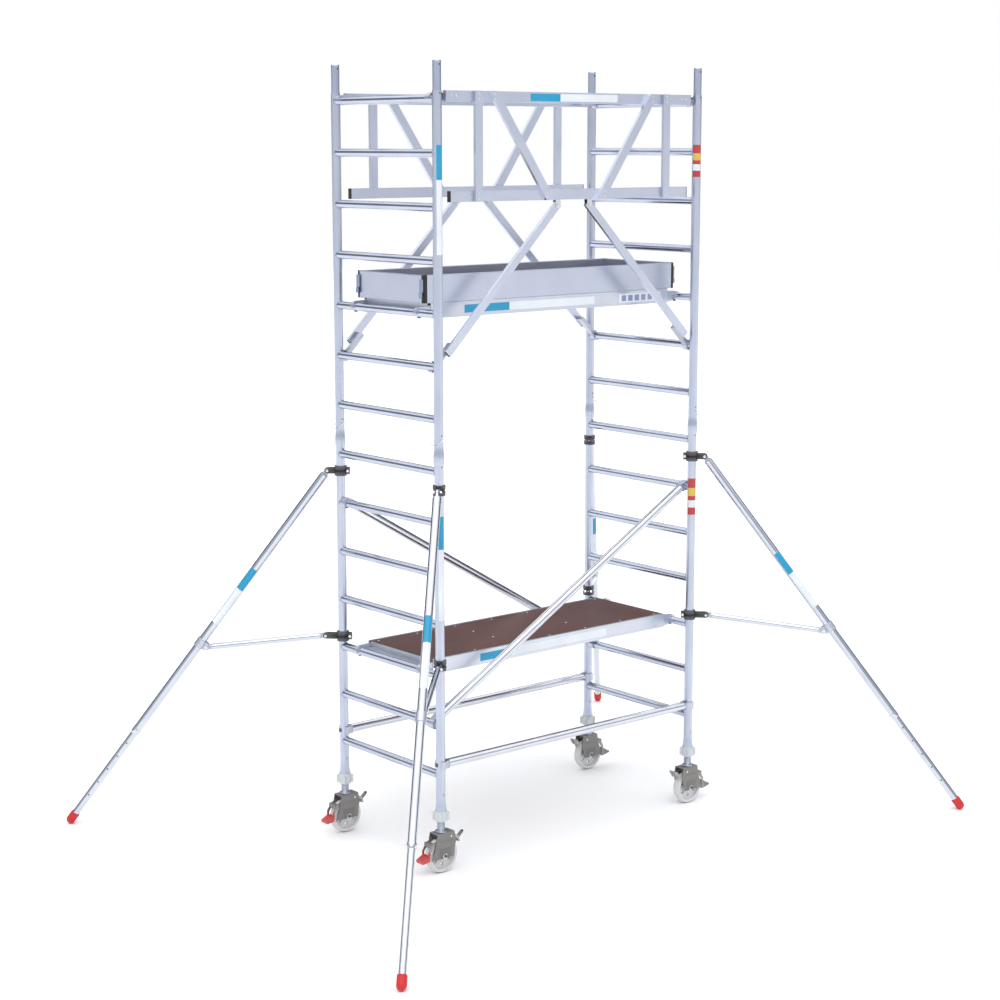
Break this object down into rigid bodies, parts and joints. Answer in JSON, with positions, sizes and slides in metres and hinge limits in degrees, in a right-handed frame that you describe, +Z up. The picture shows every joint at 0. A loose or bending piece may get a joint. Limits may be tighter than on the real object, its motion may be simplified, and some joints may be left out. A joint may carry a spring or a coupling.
{
  "type": "mobile scaffold tower",
  "caption": "Mobile aluminium scaffold tower: ladder frames, braces, decks with a trapdoor, guardrails, screw-jack castors and telescopic stabilisers.",
  "frame": {"origin": "on the floor, midway between the four castors", "axes": "+X along the decks to the right, +Y to the back across the ladder frames, +Z up"},
  "size_m": [4.2852, 3.2732, 4.389],
  "materials": {
    "frame_tube": "satin drawn tube",
    "brace_tube": "bright drawn tube",
    "cast_claw": "cast, matt",
    "deck_profile": "satin extrusion",
    "deck_board": "dark brown film-faced plywood",
    "toe_board_sheet": "satin sheet",
    "black_plastic": "moulded, matt",
    "guard_profile": "satin extrusion",
    "clip_wire": "zinc plated",
    "jack_steel": "zinc plated",
    "nylon": "translucent white moulding",
    "fork_steel": "warm grey",
    "pedal_red": "red lacquer",
    "pedal_grey": "warm grey",
    "clamp_black": "black powder coat",
    "stabiliser_tube": "bright drawn tube",
    "foot_rubber": "red, matt"
  },
  "bodies": {
    "tower": {"end_frame_left_lower": "frame_tube", "end_frame_left_upper": "frame_tube", "end_frame_right_lower": "frame_tube", "end_frame_right_upper": "frame_tube", "interlock_clips": "clip_wire", "horizontal_brace_front": "brace_tube", "diagonal_brace_front": "brace_tube", "guardrail_front": "guard_profile", "horizontal_brace_back": "brace_tube", "diagonal_brace_back": "brace_tube", "guardrail_back": "guard_profile", "brace_claws": "cast_claw", "lower_deck_frame": "deck_profile", "lower_deck_board": "deck_board", "upper_deck_frame": "deck_profile", "upper_deck_board": "deck_board", "deck_hooks": "cast_claw", "toe_boards": "toe_board_sheet", "toe_board_corners": "black_plastic"},
    "trapdoor": {"trapdoor": "deck_board"},
    "guard_brace_front_left": {"guard_brace_front_left": "guard_profile"},
    "guard_brace_front_right": {"guard_brace_front_right": "guard_profile"},
    "guard_brace_back_left": {"guard_brace_back_left": "guard_profile"},
    "guard_brace_back_right": {"guard_brace_back_right": "guard_profile"},
    "jack_front_left": {"jack_stem_front_left": "jack_steel"},
    "nut_front_left": {"jack_nut_front_left": "nylon"},
    "fork_front_left": {"castor_fork_front_left": "fork_steel"},
    "wheel_front_left": {"castor_wheel_front_left": "nylon"},
    "brake_front_left": {"brake_pedal_front_left": "pedal_red"},
    "stabiliser_front_left": {"stabiliser_clamps_front_left": "clamp_black", "stabiliser_leg_front_left": "stabiliser_tube"},
    "stabiliser_slide_front_left": {"stabiliser_inner_leg_front_left": "stabiliser_tube", "stabiliser_foot_front_left": "foot_rubber"},
    "jack_back_left": {"jack_stem_back_left": "jack_steel"},
    "nut_back_left": {"jack_nut_back_left": "nylon"},
    "fork_back_left": {"castor_fork_back_left": "fork_steel"},
    "wheel_back_left": {"castor_wheel_back_left": "nylon"},
    "brake_back_left": {"brake_pedal_back_left": "pedal_red"},
    "stabiliser_back_left": {"stabiliser_clamps_back_left": "clamp_black", "stabiliser_leg_back_left": "stabiliser_tube"},
    "stabiliser_slide_back_left": {"stabiliser_inner_leg_back_left": "stabiliser_tube", "stabiliser_foot_back_left": "foot_rubber"},
    "jack_front_right": {"jack_stem_front_right": "jack_steel"},
    "nut_front_right": {"jack_nut_front_right": "nylon"},
    "fork_front_right": {"castor_fork_front_right": "fork_steel"},
    "wheel_front_right": {"castor_wheel_front_right": "nylon"},
    "brake_front_right": {"brake_pedal_front_right": "pedal_grey"},
    "stabiliser_front_right": {"stabiliser_clamps_front_right": "clamp_black", "stabiliser_leg_front_right": "stabiliser_tube"},
    "stabiliser_slide_front_right": {"stabiliser_inner_leg_front_right": "stabiliser_tube", "stabiliser_foot_front_right": "foot_rubber"},
    "jack_back_right": {"jack_stem_back_right": "jack_steel"},
    "nut_back_right": {"jack_nut_back_right": "nylon"},
    "fork_back_right": {"castor_fork_back_right": "fork_steel"},
    "wheel_back_right": {"castor_wheel_back_right": "nylon"},
    "brake_back_right": {"brake_pedal_back_right": "pedal_grey"},
    "stabiliser_back_right": {"stabiliser_clamps_back_right": "clamp_black", "stabiliser_leg_back_right": "stabiliser_tube"},
    "stabiliser_slide_back_right": {"stabiliser_inner_leg_back_right": "stabiliser_tube", "stabiliser_foot_back_right": "foot_rubber"}
  },
  "joints": [
    {"name": "trapdoor_hinge", "type": "hinge", "parent": "tower", "child": "trapdoor", "pos_m": [-0.515, 0.25, 3.127], "axis": [-1, 0, 0], "range_deg": [0, 95]},
    {"name": "guard_brace_front_left_fold", "type": "hinge", "parent": "tower", "child": "guard_brace_front_left", "pos_m": [-0.116, -0.442, 3.631], "axis": [0, -1, 0], "range_deg": [0, 45]},
    {"name": "guard_brace_front_right_fold", "type": "hinge", "parent": "tower", "child": "guard_brace_front_right", "pos_m": [0.116, -0.442, 3.631], "axis": [0, 1, 0], "range_deg": [0, 45]},
    {"name": "guard_brace_back_left_fold", "type": "hinge", "parent": "tower", "child": "guard_brace_back_left", "pos_m": [-0.116, 0.442, 3.631], "axis": [0, -1, 0], "range_deg": [0, 45]},
    {"name": "guard_brace_back_right_fold", "type": "hinge", "parent": "tower", "child": "guard_brace_back_right", "pos_m": [0.116, 0.442, 3.631], "axis": [0, 1, 0], "range_deg": [0, 45]},
    {"name": "nut_spin_front_left", "type": "hinge", "parent": "tower", "child": "nut_front_left", "pos_m": [-0.956, -0.45, 0.3], "axis": [0, 0, 1], "range_deg": [-2250, 9000]},
    {"name": "jack_slide_front_left", "type": "slide", "parent": "tower", "child": "jack_front_left", "axis": [0, 0, -1], "range_m": [-0.05, 0.2]},
    {"name": "castor_swivel_front_left", "type": "hinge", "parent": "jack_front_left", "child": "fork_front_left", "pos_m": [-0.956, -0.45, 0.231], "axis": [0, 0, 1], "continuous": true},
    {"name": "wheel_spin_front_left", "type": "hinge", "parent": "fork_front_left", "child": "wheel_front_left", "pos_m": [-0.956, -0.45, 0.1], "axis": [0, 1, 0], "continuous": true},
    {"name": "brake_front_left", "type": "hinge", "parent": "fork_front_left", "child": "brake_front_left", "pos_m": [-0.916, -0.45, 0.207], "axis": [0, 1, 0], "range_deg": [0, 12]},
    {"name": "stabiliser_swing_front_left", "type": "hinge", "parent": "tower", "child": "stabiliser_front_left", "pos_m": [-0.956, -0.45, 1.173], "axis": [0, 0, 1], "range_deg": [-45, 45]},
    {"name": "stabiliser_extend_front_left", "type": "slide", "parent": "stabiliser_front_left", "child": "stabiliser_slide_front_left", "axis": [-0.4216, -0.4216, -0.8028], "range_m": [-0.5, 0.3]},
    {"name": "nut_spin_back_left", "type": "hinge", "parent": "tower", "child": "nut_back_left", "pos_m": [-0.956, 0.45, 0.3], "axis": [0, 0, 1], "range_deg": [-2250, 9000]},
    {"name": "jack_slide_back_left", "type": "slide", "parent": "tower", "child": "jack_back_left", "axis": [0, 0, -1], "range_m": [-0.05, 0.2]},
    {"name": "castor_swivel_back_left", "type": "hinge", "parent": "jack_back_left", "child": "fork_back_left", "pos_m": [-0.956, 0.45, 0.231], "axis": [0, 0, 1], "continuous": true},
    {"name": "wheel_spin_back_left", "type": "hinge", "parent": "fork_back_left", "child": "wheel_back_left", "pos_m": [-0.956, 0.45, 0.1], "axis": [0, 1, 0], "continuous": true},
    {"name": "brake_back_left", "type": "hinge", "parent": "fork_back_left", "child": "brake_back_left", "pos_m": [-0.916, 0.45, 0.207], "axis": [0, 1, 0], "range_deg": [0, 12]},
    {"name": "stabiliser_swing_back_left", "type": "hinge", "parent": "tower", "child": "stabiliser_back_left", "pos_m": [-0.956, 0.45, 1.173], "axis": [0, 0, 1], "range_deg": [-45, 45]},
    {"name": "stabiliser_extend_back_left", "type": "slide", "parent": "stabiliser_back_left", "child": "stabiliser_slide_back_left", "axis": [-0.4216, 0.4216, -0.8028], "range_m": [-0.5, 0.3]},
    {"name": "nut_spin_front_right", "type": "hinge", "parent": "tower", "child": "nut_front_right", "pos_m": [0.956, -0.45, 0.3], "axis": [0, 0, 1], "range_deg": [-2250, 9000]},
    {"name": "jack_slide_front_right", "type": "slide", "parent": "tower", "child": "jack_front_right", "axis": [0, 0, -1], "range_m": [-0.05, 0.2]},
    {"name": "castor_swivel_front_right", "type": "hinge", "parent": "jack_front_right", "child": "fork_front_right", "pos_m": [0.956, -0.45, 0.231], "axis": [0, 0, 1], "continuous": true},
    {"name": "wheel_spin_front_right", "type": "hinge", "parent": "fork_front_right", "child": "wheel_front_right", "pos_m": [0.956, -0.45, 0.1], "axis": [0, 1, 0], "continuous": true},
    {"name": "brake_front_right", "type": "hinge", "parent": "fork_front_right", "child": "brake_front_right", "pos_m": [0.916, -0.45, 0.207], "axis": [0, -1, 0], "range_deg": [0, 12]},
    {"name": "stabiliser_swing_front_right", "type": "hinge", "parent": "tower", "child": "stabiliser_front_right", "pos_m": [0.956, -0.45, 1.173], "axis": [0, 0, 1], "range_deg": [-45, 45]},
    {"name": "stabiliser_extend_front_right", "type": "slide", "parent": "stabiliser_front_right", "child": "stabiliser_slide_front_right", "axis": [0.4216, -0.4216, -0.8028], "range_m": [-0.5, 0.3]},
    {"name": "nut_spin_back_right", "type": "hinge", "parent": "tower", "child": "nut_back_right", "pos_m": [0.956, 0.45, 0.3], "axis": [0, 0, 1], "range_deg": [-2250, 9000]},
    {"name": "jack_slide_back_right", "type": "slide", "parent": "tower", "child": "jack_back_right", "axis": [0, 0, -1], "range_m": [-0.05, 0.2]},
    {"name": "castor_swivel_back_right", "type": "hinge", "parent": "jack_back_right", "child": "fork_back_right", "pos_m": [0.956, 0.45, 0.231], "axis": [0, 0, 1], "continuous": true},
    {"name": "wheel_spin_back_right", "type": "hinge", "parent": "fork_back_right", "child": "wheel_back_right", "pos_m": [0.956, 0.45, 0.1], "axis": [0, 1, 0], "continuous": true},
    {"name": "brake_back_right", "type": "hinge", "parent": "fork_back_right", "child": "brake_back_right", "pos_m": [0.916, 0.45, 0.207], "axis": [0, -1, 0], "range_deg": [0, 12]},
    {"name": "stabiliser_swing_back_right", "type": "hinge", "parent": "tower", "child": "stabiliser_back_right", "pos_m": [0.956, 0.45, 1.173], "axis": [0, 0, 1], "range_deg": [-45, 45]},
    {"name": "stabiliser_extend_back_right", "type": "slide", "parent": "stabiliser_back_right", "child": "stabiliser_slide_back_right", "axis": [0.4216, 0.4216, -0.8028], "range_m": [-0.5, 0.3]}
  ],
  "couplings": [
    {"joint": "nut_spin_front_left", "follows": "jack_slide_front_left", "rad_per_m": 785.4},
    {"joint": "nut_spin_back_left", "follows": "jack_slide_back_left", "rad_per_m": 785.4},
    {"joint": "nut_spin_front_right", "follows": "jack_slide_front_right", "rad_per_m": 785.4},
    {"joint": "nut_spin_back_right", "follows": "jack_slide_back_right", "rad_per_m": 785.4}
  ]
}
